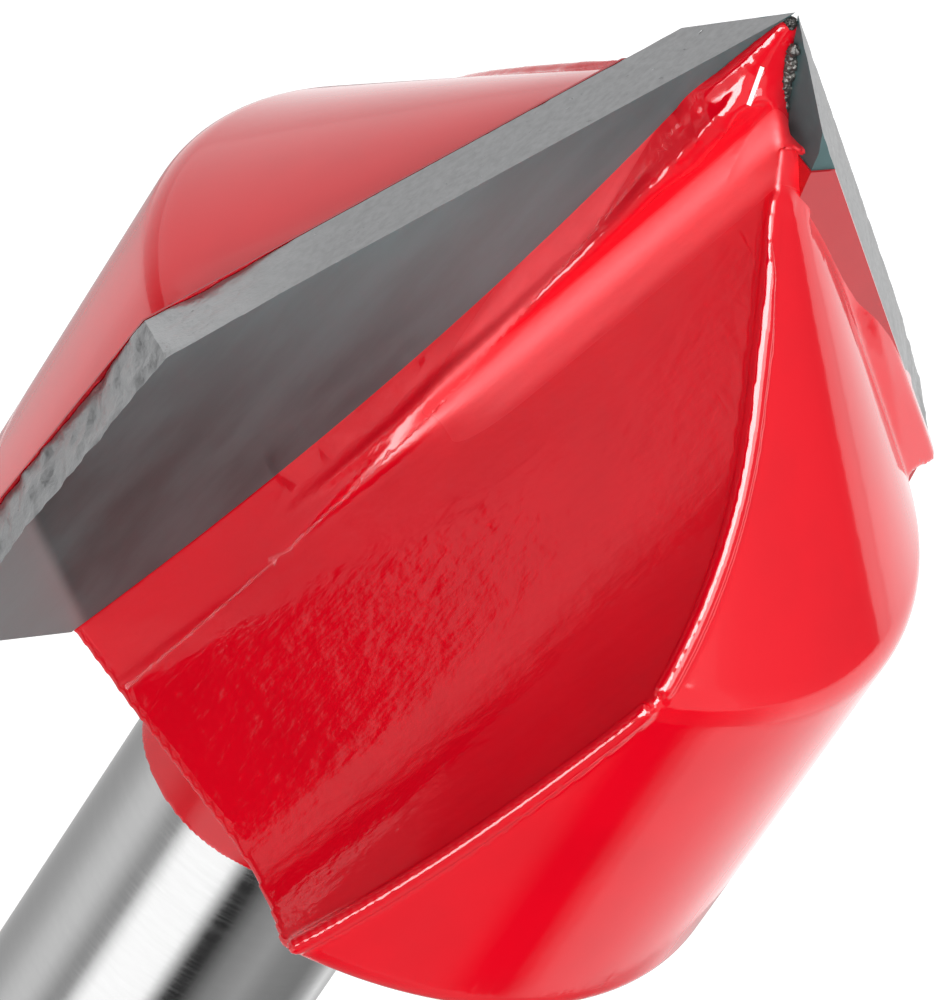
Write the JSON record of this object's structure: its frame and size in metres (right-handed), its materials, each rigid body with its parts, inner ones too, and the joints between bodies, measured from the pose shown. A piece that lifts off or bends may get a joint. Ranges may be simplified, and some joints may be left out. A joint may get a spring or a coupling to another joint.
{
  "type": "v groove router bit",
  "caption": "V-groove router bit: a red enamelled steel head with brazed carbide plates that meet at a 90 degree point, deep gullets and a plain round shank.",
  "frame": {"origin": "middle of the shank's end face", "axes": "+Z along the axis towards the cutting point; +X through the cutting corner of carbide_plate_left; rake faces look towards +Y there, so the bit cuts turning counter-clockwise as seen from the point"},
  "size_m": [0.025, 0.022, 0.0565],
  "materials": {
    "red_enamel": "glossy thick baked enamel over milled steel",
    "ground_steel": "bare steel of the same body below the enamel's edge, ground round and bright on the shank",
    "sintered_carbide": "ground sintered carbide, dark grey on the rake face and lighter on the ground flank",
    "braze_alloy": "dull silver braze"
  },
  "bodies": {
    "root": {"cutter_body": "red_enamel", "carbide_plate_left": "sintered_carbide", "carbide_plate_right": "sintered_carbide", "braze_film_left": "braze_alloy", "braze_film_right": "braze_alloy"}
  },
  "joints": []
}
